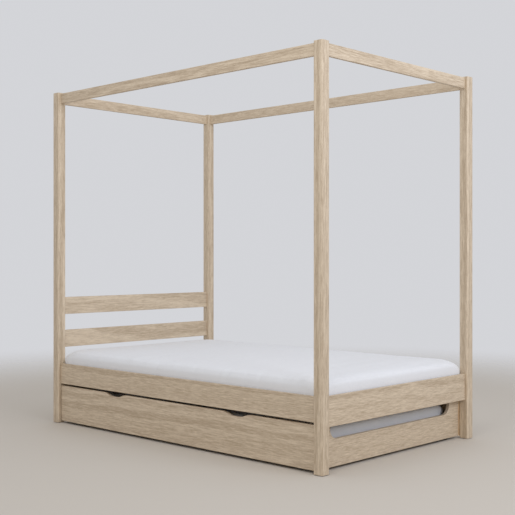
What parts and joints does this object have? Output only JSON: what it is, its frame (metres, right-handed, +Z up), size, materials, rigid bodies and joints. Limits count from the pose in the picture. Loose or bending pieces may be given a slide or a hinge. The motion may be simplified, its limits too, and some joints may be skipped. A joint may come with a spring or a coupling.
{
  "type": "four poster canopy bed",
  "caption": "Minimal wooden canopy bed: square posts, thin top rails, slatted base with mattress, and a trundle drawer on castors under it holding a second mattress.",
  "frame": {"origin": "centre of the bed's footprint, on the floor, at the bottom of the felt glides", "axes": "+Z up, +Y towards the head of the bed, +X to the right of somebody standing at the foot and facing the head; the trundle rolls out along -X"},
  "size_m": [1.282, 2.088, 1.963],
  "materials": {
    "oak": "matte",
    "pine": "matte",
    "beech": "matte",
    "mattress_cover": "matte",
    "webbing": "matte",
    "felt": "matte",
    "cap": "matte",
    "wheel": "satin",
    "castor_steel": "satin",
    "zinc": "satin"
  },
  "bodies": {
    "bed_frame": {"post_foot_left": "oak", "post_foot_right": "oak", "post_head_left": "oak", "post_head_right": "oak", "canopy_rail_left": "oak", "canopy_rail_right": "oak", "canopy_rail_foot": "oak", "canopy_rail_head": "oak", "side_rail_left": "oak", "side_rail_right": "oak", "foot_rail": "oak", "head_rail": "oak", "headboard_lower_board": "oak", "headboard_upper_board": "oak", "slat_ledger_left": "pine", "slat_ledger_right": "pine", "slat_01": "pine", "slat_02": "pine", "slat_03": "pine", "slat_04": "pine", "slat_05": "pine", "slat_06": "pine", "slat_07": "pine", "slat_08": "pine", "slat_09": "pine", "slat_10": "pine", "slat_11": "pine", "slat_12": "pine", "slat_13": "pine", "slat_14": "pine", "slat_tapes": "webbing", "mattress": "mattress_cover", "trundle_stop_blocks": "pine", "felt_glides": "felt", "frame_cam_dowels": "zinc", "frame_cam_locks": "zinc", "frame_cam_caps": "cap", "frame_wooden_dowels": "beech", "frame_screws": "zinc"},
    "trundle": {"trundle_front": "oak", "trundle_back": "oak", "trundle_end_foot": "oak", "trundle_end_head": "oak", "trundle_ledger_front": "pine", "trundle_ledger_back": "pine", "trundle_slats": "pine", "trundle_slat_tapes": "webbing", "trundle_mattress": "mattress_cover", "trundle_cam_dowels": "zinc", "trundle_cam_locks": "zinc", "trundle_wooden_dowels": "beech", "trundle_screws": "zinc", "castor_housings": "castor_steel", "castor_axles": "zinc"},
    "castor_wheel_front_foot": {"castor_wheel_front_foot": "wheel"},
    "castor_wheel_front_head": {"castor_wheel_front_head": "wheel"},
    "castor_wheel_back_foot": {"castor_wheel_back_foot": "wheel"},
    "castor_wheel_back_head": {"castor_wheel_back_head": "wheel"}
  },
  "joints": [
    {"name": "trundle_slide", "type": "slide", "parent": "bed_frame", "child": "trundle", "axis": [-1, 0, 0], "range_m": [0, 1.25]},
    {"name": "castor_spin_front_foot", "type": "hinge", "parent": "trundle", "child": "castor_wheel_front_foot", "pos_m": [-0.54, -0.954, 0.0225], "axis": [0, -1, 0], "continuous": true},
    {"name": "castor_spin_front_head", "type": "hinge", "parent": "trundle", "child": "castor_wheel_front_head", "pos_m": [-0.54, 0.954, 0.0225], "axis": [0, -1, 0], "continuous": true},
    {"name": "castor_spin_back_foot", "type": "hinge", "parent": "trundle", "child": "castor_wheel_back_foot", "pos_m": [0.5032, -0.954, 0.0225], "axis": [0, -1, 0], "continuous": true},
    {"name": "castor_spin_back_head", "type": "hinge", "parent": "trundle", "child": "castor_wheel_back_head", "pos_m": [0.5032, 0.954, 0.0225], "axis": [0, -1, 0], "continuous": true}
  ],
  "couplings": [
    {"joint": "castor_spin_front_foot", "follows": "trundle_slide", "rad_per_m": 44.444},
    {"joint": "castor_spin_front_head", "follows": "trundle_slide", "rad_per_m": 44.444},
    {"joint": "castor_spin_back_foot", "follows": "trundle_slide", "rad_per_m": 44.444},
    {"joint": "castor_spin_back_head", "follows": "trundle_slide", "rad_per_m": 44.444}
  ]
}
